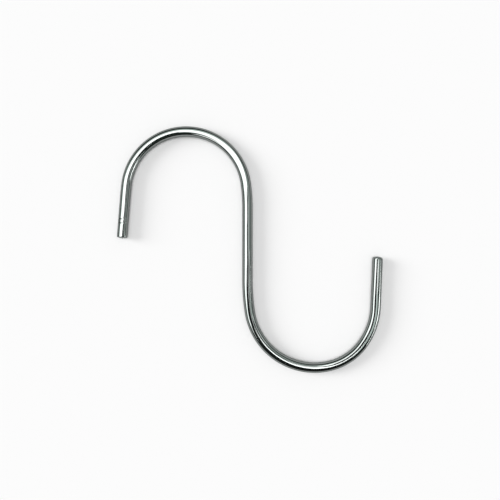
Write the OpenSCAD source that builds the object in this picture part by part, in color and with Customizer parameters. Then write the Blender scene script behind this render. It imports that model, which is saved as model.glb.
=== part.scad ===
// S hook of round polished wire: two open hooks on one straight shank, all bent in one plane.
// It is drawn lying flat, with +Z up, the shank along Y and the upper hook towards +Y.
// The origin is the middle of the space that the hook covers, on the surface that it lies on.
// Each hook is a list of bends along the wire's centreline, from the shank out, and a straight free leg.

/* [Wire] */
// Diameter of the wire
wire_d = 4; // [2.5:0.1:6]

/* [Shank] */
// Straight length between the two hooks
shank_l = 28.4; // [5:0.1:80]

/* [Upper hook] */
// Radius of the bend, to the middle of the wire
upper_bend_r = 23.45; // [12:0.05:40]
// Straight length of the free leg, to its cut end
upper_leg_l = 16.5; // [4:0.1:40]
// How far the free leg leans away from the shank
upper_flare = 4.6; // [1:0.05:15]
// Radius of the gentle start of the bend, at the shank
upper_start_r = 68; // [41:0.5:120]
// Angle of the gentle start of the bend
upper_start_a = 8; // [2:0.1:20]
// Radius of the gentle finish of the bend, at the free leg
upper_finish_r = 108; // [41:0.5:160]
// Angle of the gentle finish of the bend
upper_finish_a = 2.5; // [1:0.1:15]
// Rounding of the cut end's edge
upper_edge_r = 0.5; // [0.1:0.05:1]

/* [Lower hook] */
// Radius of the bend across the bottom, to the middle of the wire
lower_bend_r = 25.5; // [12:0.05:40]
// Angle of the bend across the bottom
lower_bend_a = 98.4; // [90:0.1:115]
// Radius of the tighter corner that follows
lower_corner_r = 21.9; // [12:0.05:40]
// Angle of the tighter corner
lower_corner_a = 36.3; // [10:0.1:40]
// Radius of the last of the bend, up to the free leg
lower_rise_r = 26.5; // [12:0.05:60]
// Straight length of the free leg, to its cut end
lower_leg_l = 19.8; // [4:0.1:40]
// How far the free leg leans away from the shank
lower_flare = 2.4; // [1:0.05:5]
// Radius of the gentle start of the bend, at the shank
lower_start_r = 82; // [41:0.5:120]
// Angle of the gentle start of the bend
lower_start_a = 8.7; // [2:0.1:15]
// Rounding of the cut end's edge
lower_edge_r = 0.9; // [0.1:0.05:1]

/* [Hidden] */
$fn = 96;
STEEL = [0.62, 0.66, 0.64];
QUARTER_TURN = 90;
HALF_TURN = 180;
wire_r = wire_d / 2;

// A pose is a place on the wire's centreline and the heading there: x, y and an angle from +X.
// A bend turns to the left and is a radius and an angle.
function bend_centre(pose, radius) = [pose.x - radius * sin(pose.z), pose.y + radius * cos(pose.z)];
function after_bend(pose, radius, angle) =
    let (centre = bend_centre(pose, radius), heading = pose.z + angle)
    [centre.x + radius * sin(heading), centre.y - radius * cos(heading), heading];
function after_run(pose, length) = [pose.x + length * cos(pose.z), pose.y + length * sin(pose.z), pose.z];
function pose_after(bends, count) =
    count == 0 ? [0, shank_l / 2, QUARTER_TURN]
    : after_bend(pose_after(bends, count - 1), bends[count - 1][0], bends[count - 1][1]);

// How far a hook reaches above the middle of the shank: the top of the bend that crosses over
function crosses_over(pose, angle) = pose.z < HALF_TURN && pose.z + angle >= HALF_TURN;
function crown(bends) =
    max([for (i = [0 : len(bends) - 1])
        let (pose = pose_after(bends, i), radius = bends[i][0])
        if (crosses_over(pose, bends[i][1])) bend_centre(pose, radius).y + radius + wire_r]);

// How far a hook reaches to the side of the shank: its leg leans out, so to the rounded edge of its end
function reach(bends, leg_l, edge_r) =
    let (edge = after_run(pose_after(bends, len(bends)), leg_l - edge_r))
    edge_r - edge.x - (wire_r - edge_r) * sin(edge.z);

upper_bends = [
    [upper_start_r, upper_start_a],
    [upper_bend_r, HALF_TURN - upper_flare - upper_start_a - upper_finish_a],
    [upper_finish_r, upper_finish_a]
];
lower_bends = [
    [lower_start_r, lower_start_a],
    [lower_bend_r, lower_bend_a],
    [lower_corner_r, lower_corner_a],
    [lower_rise_r, HALF_TURN - lower_flare - lower_start_a - lower_bend_a - lower_corner_a]
];

// The middle of the shank, seen from the origin
shank_x = (reach(upper_bends, upper_leg_l, upper_edge_r) - reach(lower_bends, lower_leg_l, lower_edge_r)) / 2;
shank_y = (crown(lower_bends) - crown(upper_bends)) / 2;

// Moves in a coarse step and a fine one, which together carry more digits than a single step does.
// Each piece of wire then meets the next face to face.
module shift(by) {
    coarse = [for (value = by) round(value * 100) / 100];
    translate(coarse) translate(by - coarse) children();
}

// A bend is part of a ring about its own centre, a quarter turn to the left of the heading
module wire_bend(pose, radius, angle) {
    shift(bend_centre(pose, radius))
        rotate_extrude(start = pose.z - QUARTER_TURN, angle = angle)
            translate([radius, 0]) circle(d = wire_d);
}

// The straight free leg, whose cut end is square to the wire and has its edge rounded
module free_leg(pose, length, edge_r) {
    shift([pose.x, pose.y])
        rotate([0, QUARTER_TURN, pose.z]) {
            cylinder(d = wire_d, h = length - edge_r);
            translate([0, 0, length - edge_r]) rounded_end(edge_r);
        }
}

module rounded_end(edge_r) {
    rotate_extrude() {
        square([wire_r - edge_r, edge_r]);
        intersection() {
            translate([wire_r - edge_r, 0]) circle(r = edge_r);
            square([wire_r, edge_r]);
        }
    }
}

// One hook, from the end of the shank to its cut end
module open_hook(bends, leg_l, edge_r) {
    for (i = [0 : len(bends) - 1])
        wire_bend(pose_after(bends, i), bends[i][0], bends[i][1]);
    free_leg(pose_after(bends, len(bends)), leg_l, edge_r);
}

module shank() {
    rotate([QUARTER_TURN, 0, 0]) cylinder(d = wire_d, h = shank_l, center = true);
}

module s_hook() {
    color(STEEL)
        translate([shank_x, shank_y, wire_r]) {
            shank();
            open_hook(upper_bends, upper_leg_l, upper_edge_r);
            rotate(HALF_TURN) open_hook(lower_bends, lower_leg_l, lower_edge_r);
        }
}

s_hook();
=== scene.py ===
import math

import bpy
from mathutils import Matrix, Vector


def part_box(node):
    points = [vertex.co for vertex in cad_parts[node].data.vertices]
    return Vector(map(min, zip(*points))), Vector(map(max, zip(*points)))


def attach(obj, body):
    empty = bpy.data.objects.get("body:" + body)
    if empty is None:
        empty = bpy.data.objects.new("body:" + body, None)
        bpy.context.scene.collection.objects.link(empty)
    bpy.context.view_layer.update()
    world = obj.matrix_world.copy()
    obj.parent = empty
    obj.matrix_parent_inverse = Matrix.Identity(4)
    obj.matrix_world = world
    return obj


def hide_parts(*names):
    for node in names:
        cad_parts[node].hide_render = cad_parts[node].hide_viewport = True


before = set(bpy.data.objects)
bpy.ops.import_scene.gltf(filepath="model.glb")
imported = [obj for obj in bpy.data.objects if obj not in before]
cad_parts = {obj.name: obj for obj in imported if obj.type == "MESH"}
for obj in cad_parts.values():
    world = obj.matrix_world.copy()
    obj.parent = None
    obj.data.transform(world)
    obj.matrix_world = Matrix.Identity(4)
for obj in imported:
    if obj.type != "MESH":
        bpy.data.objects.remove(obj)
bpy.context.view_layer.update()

# The S hook lies flat on a pale floor and is seen from straight above. All lengths are in metres.
# The wire follows the bends of the CAD solid, here as one fine swept mesh, because a mirror finish
# shows every facet. Its thickness and its place come from the frame.
MM = 0.001

# The bends of each hook, from the shank out: radius to the middle of the wire, angle in degrees
SHANK_LENGTH = 28.4 * MM
UPPER_BENDS = ((68 * MM, 8), (23.45 * MM, 164.9), (108 * MM, 2.5))
UPPER_LEG = 16.5 * MM
LOWER_BENDS = ((82 * MM, 8.7), (25.5 * MM, 98.4), (21.9 * MM, 36.3), (26.5 * MM, 34.2))
LOWER_LEG = 19.8 * MM

# The cut ends: rounding of the edge, and how far the face stands out in its middle. The lower end
# is cut at a slant, which leaves the wire shorter on its right-hand side than on its left.
UPPER_END = {"edge": 0.5 * MM, "dome": 0.3 * MM}
LOWER_END = {"edge": 0.9 * MM, "dome": 0.2 * MM}
LOWER_SLANT = 0.25 * MM

# Two rings scored round the upper leg, each at a distance from the cut end. They go deepest on the
# leg's outer side, RING_DEEPEST degrees round from its left, and fade out round the wire. The steel
# is scuffed between them and for SCUFF_REACH beyond.
RING_PLACES = (6.0 * MM, 7.6 * MM)
RING_HALF_WIDTH = 0.42 * MM
RING_DEPTH = 0.12 * MM
RING_DEEPEST = 35
RING_FAINTEST = 0.1
RING_FADE = 3
SCUFF_REACH = 0.5 * MM

# How fine the mesh is: sides round the wire, steps along it and across the scored rings, and rings
# of faces on each cut end and on its rounded edge
SIDES = 64
STEP = 0.5 * MM
FINE_STEP = 0.04 * MM
CAP_RINGS = 8
EDGE_RINGS = 10

# The polished wire. Its tone varies a little between two colours, the scored rings are coloured much
# darker, and EDGE_TINT colours the metal at a grazing angle. Fine lines run along it from the drawing.
# A scuff and a score each add to its roughness.
POLISH_DARK = (0.225, 0.238, 0.232, 1)
POLISH_PALE = (0.255, 0.270, 0.263, 1)
SCORED_DARK = (0.03, 0.033, 0.031, 1)
EDGE_TINT = (0.36, 0.40, 0.38, 1)
TONE_SCALE, TONE_DETAIL = 260, 4
LINE_SCALE, LINE_DETAIL = 9000, 3
LINE_STRETCH = (1, 1, 0.005)
LINE_STRENGTH = 0.08
LINE_HEIGHT = 0.01 * MM
POLISH_ROUGHNESS = (0.02, 0.03)
SCUFF_ROUGHNESS = 0.12
SCORE_ROUGHNESS = 0.5

# The cut faces. The marks of the blade across them vary their tone, their roughness and their height.
CUT_DARK = (0.20, 0.215, 0.21, 1)
CUT_PALE = (0.34, 0.355, 0.35, 1)
MARK_SCALE, MARK_DETAIL = 5000, 4
MARK_STRETCH = (1, 0.12, 1)
MARK_STRENGTH = 0.4
MARK_HEIGHT = 0.02 * MM
CUT_ROUGHNESS = (0.22, 0.42)

# The studio. The world is as pale as the floor to look at, and lights evenly with WORLD_LIGHT.
FLOOR_SPAN = 60
FLOOR_COLOUR = (0.95, 0.95, 0.95, 1)
WORLD_LIGHT = (0.4, 0.4, 0.4, 1)

# The camera: how much of the floor it shows, and where it aims from the middle of the hook
LENS = 50
SENSOR = 36
VIEW_WIDTH = 195 * MM
AIM = (0.06 * MM, -0.16 * MM)
CLIP_START = 1 * MM
CLIP_END = 200

LOW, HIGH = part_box("s_hook")
CENTRE = (LOW + HIGH) / 2
WIRE_R = (HIGH.z - LOW.z) / 2


# The course of the wire

def after_bend(place, radius, angle):
    """The place after a bend to the left. A place is x, y and the heading in degrees from +X."""
    x, y, heading = place
    before, after = math.radians(heading), math.radians(heading + angle)
    x += radius * (math.sin(after) - math.sin(before))
    y -= radius * (math.cos(after) - math.cos(before))
    return x, y, heading + angle


def after_run(place, length):
    """The place after a straight run."""
    x, y, heading = place
    turn = math.radians(heading)
    return x + length * math.cos(turn), y + length * math.sin(turn), heading


def hook_place(bends, distance):
    """The place at a distance from the middle of the shank, out along one hook."""
    place, left = (0, 0, 90), distance
    if left <= SHANK_LENGTH / 2:
        return after_run(place, left)
    place, left = after_run(place, SHANK_LENGTH / 2), left - SHANK_LENGTH / 2
    for radius, angle in bends:
        length = radius * math.radians(angle)
        if left <= length:
            return after_bend(place, radius, math.degrees(left / radius))
        place, left = after_bend(place, radius, angle), left - length
    return after_run(place, left)


def hook_length(bends, leg):
    """The length of one hook along its middle, from the middle of the shank to its cut end."""
    return SHANK_LENGTH / 2 + sum(radius * math.radians(angle) for radius, angle in bends) + leg


UPPER_LENGTH = hook_length(UPPER_BENDS, UPPER_LEG)
LOWER_LENGTH = hook_length(LOWER_BENDS, LOWER_LEG)
WIRE_LENGTH = UPPER_LENGTH + LOWER_LENGTH


def wire_place(distance):
    """The place at a distance from the upper cut end, with the heading towards the lower one."""
    if distance <= UPPER_LENGTH:
        x, y, heading = hook_place(UPPER_BENDS, UPPER_LENGTH - distance)
        return x, y, heading + 180
    x, y, heading = hook_place(LOWER_BENDS, distance - UPPER_LENGTH)
    return -x, -y, heading + 180


# The mesh of the wire

def end_sections(end):
    """Sections of a cut end as (depth below its highest point, radius), from its middle outwards."""
    face_r = WIRE_R - end["edge"]
    face = [
        (end["dome"] * (i / CAP_RINGS) ** 2, face_r * i / CAP_RINGS)
        for i in range(1, CAP_RINGS)
    ]
    turns = [math.radians(90 * i / EDGE_RINGS) for i in range(EDGE_RINGS + 1)]
    edge = [
        (end["dome"] + end["edge"] * (1 - math.cos(t)), face_r + end["edge"] * math.sin(t))
        for t in turns
    ]
    return face + edge


def steps(start, stop, step):
    """Even steps from start to just before stop, none longer than step."""
    count = math.ceil((stop - start) / step)
    return [start + (stop - start) * i / count for i in range(count)]


def sections():
    """The whole wire as (distance from the upper cut end, radius), from end to end."""
    first, last = end_sections(UPPER_END), end_sections(LOWER_END)
    score_start = min(RING_PLACES) - RING_HALF_WIDTH
    score_stop = max(RING_PLACES) + RING_HALF_WIDTH
    body = steps(first[-1][0], score_start, STEP)[1:]
    body += steps(score_start, score_stop, FINE_STEP)
    body += steps(score_stop, WIRE_LENGTH - last[-1][0], STEP)
    return (
        first
        + [(distance, WIRE_R) for distance in body]
        + [(WIRE_LENGTH - depth, radius) for depth, radius in reversed(last)]
    )


def scored(distance, turn):
    """How deep the rings go there, from 0 to 1. The turn is round the wire, from its left."""
    off = min(abs(distance - place) for place in RING_PLACES) / RING_HALF_WIDTH
    if off >= 1:
        return 0
    faced = max(0, math.cos(turn - math.radians(RING_DEEPEST))) ** RING_FADE
    return (RING_FAINTEST + (1 - RING_FAINTEST) * faced) * (1 + math.cos(math.pi * off)) / 2


def scuffed(distance):
    """1 between the scored rings, where the wire was gripped, and 0 away from them."""
    off = max(min(RING_PLACES) - distance, distance - max(RING_PLACES), 0)
    return max(0, 1 - off / SCUFF_REACH)


def slant_at(distance, sideways):
    """How far a point near the lower cut end moves back, because the wire was cut at a slant."""
    reach = 2 * WIRE_R
    near = max(0, 1 - (WIRE_LENGTH - distance) / reach)
    return LOWER_SLANT * near * (1 - sideways / WIRE_R) / 2


def wire_point(distance, sideways, height):
    """A point of the wire: sideways is to the left of the way along it, height above its middle."""
    x, y, heading = wire_place(distance - slant_at(distance, sideways))
    turn = math.radians(heading)
    return Vector((x - sideways * math.sin(turn), y + sideways * math.cos(turn), height))


def wire_faces(ring_count):
    """The faces between the rings of points, then the fans that close both ends. The points in
    the middle of the upper and the lower cut face come after those of the rings. Also says of
    each face whether it is on a cut face."""
    faces, on_cut = [], []
    cap = CAP_RINGS - 1
    for ring in range(ring_count - 1):
        here, there = ring * SIDES, (ring + 1) * SIDES
        for i in range(SIDES):
            j = (i + 1) % SIDES
            faces.append((here + i, here + j, there + j, there + i))
            on_cut.append(ring < cap or ring >= ring_count - 1 - cap)
    end = (ring_count - 1) * SIDES
    upper_middle, lower_middle = ring_count * SIDES, ring_count * SIDES + 1
    for i in range(SIDES):
        j = (i + 1) % SIDES
        faces.append((upper_middle, j, i))
        faces.append((lower_middle, end + i, end + j))
        on_cut += [True, True]
    return faces, on_cut


def keep(mesh, name, kind, field, values):
    """Stores values on the points of the mesh, for its materials."""
    mesh.attributes.new(name, kind, "POINT").data.foreach_set(field, values)


def wire_mesh():
    """The swept mesh, with each point's place on the straightened wire kept for the materials."""
    points, straight, marks = [], [], []

    def add(distance, radius, turn):
        mark = scored(distance, turn)
        out = radius - mark * RING_DEPTH
        sideways, height = out * math.cos(turn), out * math.sin(turn)
        points.append(wire_point(distance, sideways, height))
        straight.append((sideways, height, distance))
        marks.append(mark)

    rings = sections()
    for distance, radius in rings:
        for i in range(SIDES):
            add(distance, radius, 2 * math.pi * i / SIDES)
    add(0, 0, 0)
    add(WIRE_LENGTH, 0, 0)
    faces, on_cut = wire_faces(len(rings))

    middle = Vector((
        (min(p.x for p in points) + max(p.x for p in points)) / 2,
        (min(p.y for p in points) + max(p.y for p in points)) / 2,
        0,
    ))
    mesh = bpy.data.meshes.new("wire")
    mesh.from_pydata([p - middle + CENTRE for p in points], [], faces)
    mesh.polygons.foreach_set("use_smooth", [True] * len(faces))
    mesh.polygons.foreach_set("material_index", [int(cut) for cut in on_cut])
    keep(mesh, "straightened", "FLOAT_VECTOR", "vector", [value for place in straight for value in place])
    keep(mesh, "scuffed", "FLOAT", "value", [scuffed(place[2]) for place in straight])
    keep(mesh, "scored", "FLOAT", "value", marks)
    mesh.update()
    return mesh


# Materials

def new_material(name, shader_type):
    """A material with one shader, and its node tree. The helpers below each add a node to a tree."""
    material = bpy.data.materials.new(name)
    material.use_nodes = True
    tree = material.node_tree
    tree.nodes.clear()
    output = tree.nodes.new("ShaderNodeOutputMaterial")
    shader = tree.nodes.new(shader_type)
    tree.links.new(shader.outputs[0], output.inputs["Surface"])
    return material, tree, shader


def kept(tree, name, output):
    """Values that keep() stored on the mesh."""
    node = tree.nodes.new("ShaderNodeAttribute")
    node.attribute_name = name
    return node.outputs[output]


def stretched(tree, place, factors):
    node = tree.nodes.new("ShaderNodeVectorMath")
    node.operation = "MULTIPLY"
    node.inputs[1].default_value = factors
    tree.links.new(place, node.inputs[0])
    return node.outputs["Vector"]


def noise(tree, place, scale, detail):
    node = tree.nodes.new("ShaderNodeTexNoise")
    node.inputs["Scale"].default_value = scale
    node.inputs["Detail"].default_value = detail
    tree.links.new(place, node.inputs["Vector"])
    return node.outputs["Fac"]


def mixed(tree, factor, second):
    """A mix of two colours, of which the first is still to be set on the input that this gives."""
    node = tree.nodes.new("ShaderNodeMix")
    node.data_type = "RGBA"
    node.inputs["B"].default_value = second
    tree.links.new(factor, node.inputs["Factor"])
    return node.inputs["A"], node.outputs["Result"]


def tones(tree, factor, first, second):
    """A mix of two fixed colours."""
    start, result = mixed(tree, factor, second)
    start.default_value = first
    return result


def over(tree, factor, under, second):
    """A fixed colour laid over another node's colour."""
    start, result = mixed(tree, factor, second)
    tree.links.new(under, start)
    return result


def ranged(tree, value, limits):
    node = tree.nodes.new("ShaderNodeMapRange")
    node.inputs["To Min"].default_value, node.inputs["To Max"].default_value = limits
    tree.links.new(value, node.inputs["Value"])
    return node.outputs["Result"]


def raised(tree, value, factor, by):
    """The value, raised by a factor times another value."""
    node = tree.nodes.new("ShaderNodeMath")
    node.operation = "MULTIPLY_ADD"
    tree.links.new(by, node.inputs[0])
    node.inputs[1].default_value = factor
    tree.links.new(value, node.inputs[2])
    return node.outputs["Value"]


def either(tree, first, second):
    node = tree.nodes.new("ShaderNodeMath")
    node.operation = "MAXIMUM"
    tree.links.new(first, node.inputs[0])
    tree.links.new(second, node.inputs[1])
    return node.outputs["Value"]


def bumped(tree, height, strength, distance):
    node = tree.nodes.new("ShaderNodeBump")
    node.inputs["Strength"].default_value = strength
    node.inputs["Distance"].default_value = distance
    tree.links.new(height, node.inputs["Height"])
    return node.outputs["Normal"]


def polished_steel():
    """Drawn steel wire with a mirror finish: fine lines along it, and a faint uneven tone."""
    material, tree, shader = new_material("polished_steel", "ShaderNodeBsdfPrincipled")
    shader.inputs["Metallic"].default_value = 1
    shader.inputs["Specular Tint"].default_value = EDGE_TINT
    place = kept(tree, "straightened", "Vector")
    marks = kept(tree, "scored", "Fac")

    lines = noise(tree, stretched(tree, place, LINE_STRETCH), LINE_SCALE, LINE_DETAIL)
    tree.links.new(bumped(tree, lines, LINE_STRENGTH, LINE_HEIGHT), shader.inputs["Normal"])

    colour = tones(tree, noise(tree, place, TONE_SCALE, TONE_DETAIL), POLISH_DARK, POLISH_PALE)
    # The scored rings are coloured much darker, the more so the deeper they go.
    tree.links.new(over(tree, marks, colour, SCORED_DARK), shader.inputs["Base Color"])

    gloss = ranged(tree, lines, POLISH_ROUGHNESS)
    gloss = raised(tree, gloss, SCUFF_ROUGHNESS, kept(tree, "scuffed", "Fac"))
    gloss = raised(tree, gloss, SCORE_ROUGHNESS, marks)
    tree.links.new(gloss, shader.inputs["Roughness"])
    return material


def cut_steel():
    """The sheared end faces: duller, with short marks from the blade."""
    material, tree, shader = new_material("cut_steel", "ShaderNodeBsdfPrincipled")
    shader.inputs["Metallic"].default_value = 1
    place = kept(tree, "straightened", "Vector")
    marks = noise(tree, stretched(tree, place, MARK_STRETCH), MARK_SCALE, MARK_DETAIL)
    tree.links.new(tones(tree, marks, CUT_DARK, CUT_PALE), shader.inputs["Base Color"])
    tree.links.new(ranged(tree, marks, CUT_ROUGHNESS), shader.inputs["Roughness"])
    tree.links.new(bumped(tree, marks, MARK_STRENGTH, MARK_HEIGHT), shader.inputs["Normal"])
    return material


def floor_paper():
    material, _, shader = new_material("floor_paper", "ShaderNodeBsdfDiffuse")
    shader.inputs["Color"].default_value = FLOOR_COLOUR
    return material


def glow(name, colour):
    """A surface that shines, but isn't sampled as a lamp."""
    material, _, shader = new_material(name, "ShaderNodeEmission")
    shader.inputs["Color"].default_value = (*colour, 1)
    material.cycles.emission_sampling = "NONE"
    return material


# The piece

def build_hook():
    hook = bpy.data.objects.new("polished_wire_hook", wire_mesh())
    bpy.context.scene.collection.objects.link(hook)
    hook.data.materials.append(polished_steel())
    hook.data.materials.append(cut_steel())
    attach(hook, "root")
    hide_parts("s_hook")


# The studio

def panel(name, centre, size, turn=0):
    """A level rectangle, turned about the vertical by an angle in degrees."""
    across, deep = size[0] / 2, size[1] / 2
    corners = [(-across, -deep, 0), (across, -deep, 0), (across, deep, 0), (-across, deep, 0)]
    mesh = bpy.data.meshes.new(name)
    mesh.from_pydata(corners, [], [(0, 1, 2, 3)])
    made = bpy.data.objects.new(name, mesh)
    made.location = centre
    made.rotation_euler.z = math.radians(turn)
    bpy.context.scene.collection.objects.link(made)
    return made


def reflector(name, centre, size, colour, turn=0):
    """A card or soft box that only shows in the polish. The lamps give the light."""
    made = panel(name, [value * MM for value in centre], [value * MM for value in size], turn)
    made.data.materials.append(glow(name, colour))
    made.visible_camera = False
    made.visible_diffuse = False
    made.visible_transmission = False
    made.visible_volume_scatter = False
    made.visible_shadow = False


def steel_grey(level):
    """The tint of the dim surroundings: a grey with a little green in it."""
    return (level, level * 1.12, level * 1.07)


def white(level):
    return (level, level, level)


# The bright cards are well above 1, so that they show white in steel that gives back a quarter
WINDOW = white(5)
LAMP = white(8)
CEILING = (0.05, 0.07, 0.06)
BLACK = steel_grey(0.03)


def build_reflectors():
    """What the polish shows: a dark ceiling as wide as the floor, and cards below it. Each has its
    centre from the middle of the hook and its size in millimetres, a colour, and a turn in degrees."""
    reflector("ceiling", (0, 0, 1500), (60000, 60000), CEILING)
    reflector("window_back", (-80, 85, 220), (430, 115), WINDOW, 10)
    reflector("window_left", (-90, 10, 145), (130, 85), WINDOW, 30)
    reflector("window_front", (-180, -110, 170), (95, 260), WINDOW, 35)
    reflector("window_gap", (50, 5, 180), (25, 85), white(3), 5)
    reflector("strip_light", (525, -255, 130), (190, 585), LAMP, 50)
    reflector("far_light", (575, -95, 135), (275, 80), LAMP, 5)
    reflector("low_light", (60, -80, 265), (80, 50), white(7), -45)
    reflector("thin_light", (75, 50, 250), (15, 240), LAMP, 10)
    reflector("dash_light", (65, -10, 55), (20, 10), white(4), -75)
    reflector("side_glow", (80, -45, 90), (45, 55), steel_grey(1.7), 20)
    reflector("east_wall", (145, 45, 85), (215, 130), steel_grey(0.7), -10)
    reflector("west_wall", (-420, 5, 220), (260, 450), steel_grey(1.4), -5)
    reflector("north_wall", (-20, 255, 280), (875, 280), steel_grey(1.2), 20)
    reflector("camera_flag", (0, -10, 140), (60, 65), BLACK, 15)
    reflector("front_flag", (90, -295, 65), (335, 445), BLACK, -5)
    reflector("side_flag", (135, -5, 240), (355, 100), BLACK, -80)
    reflector("leg_flag", (55, -35, 190), (20, 55), BLACK, 5)


def build_floor():
    floor = panel("floor", (CENTRE.x, CENTRE.y, LOW.z), (FLOOR_SPAN, FLOOR_SPAN))
    floor.data.materials.append(floor_paper())


def sun(name, strength, spread, lean, azimuth):
    """A far soft lamp: its spread is the angle that it covers, its lean is from straight above, and
    its azimuth is from +X. All are in degrees."""
    lamp = bpy.data.lights.new(name, "SUN")
    lamp.energy = strength
    lamp.angle = math.radians(spread)
    made = bpy.data.objects.new(name, lamp)
    a, b = math.radians(lean), math.radians(azimuth)
    towards = Vector((math.sin(a) * math.cos(b), math.sin(a) * math.sin(b), math.cos(a)))
    made.rotation_mode = "QUATERNION"
    made.rotation_quaternion = towards.to_track_quat("Z", "Y")
    made.visible_glossy = False
    bpy.context.scene.collection.objects.link(made)


def build_lamps():
    """A soft key, low on the left, throws the shadow, and the light from above fills it."""
    sun("key", strength=1.95, spread=27, lean=67, azimuth=170)
    sun("overhead", strength=1.2, spread=27, lean=0, azimuth=0)


def build_world():
    """The camera, the polish and anything clear see the pale studio. The rest gets WORLD_LIGHT."""
    world = bpy.data.worlds.new("studio")
    bpy.context.scene.world = world
    world.use_nodes = True
    tree = world.node_tree
    tree.nodes.clear()
    output = tree.nodes.new("ShaderNodeOutputWorld")
    background = tree.nodes.new("ShaderNodeBackground")
    tree.links.new(background.outputs["Background"], output.inputs["Surface"])
    path = tree.nodes.new("ShaderNodeLightPath")
    seen = either(tree, path.outputs["Is Camera Ray"], path.outputs["Is Glossy Ray"])
    seen = either(tree, seen, path.outputs["Is Transmission Ray"])
    tree.links.new(tones(tree, seen, WORLD_LIGHT, FLOOR_COLOUR), background.inputs["Color"])


def build_camera():
    """Straight above the middle of the hook, as far off as shows VIEW_WIDTH of the floor."""
    data = bpy.data.cameras.new("camera")
    data.lens = LENS
    data.sensor_width = SENSOR
    data.clip_start = CLIP_START
    data.clip_end = CLIP_END
    camera = bpy.data.objects.new("camera", data)
    away = VIEW_WIDTH * LENS / SENSOR
    camera.location = (CENTRE.x + AIM[0], CENTRE.y + AIM[1], CENTRE.z + away)
    bpy.context.scene.collection.objects.link(camera)
    bpy.context.scene.camera = camera


build_camera()
build_hook()
build_floor()
build_lamps()
build_reflectors()
build_world()
bpy.context.scene.view_settings.view_transform = "Standard"
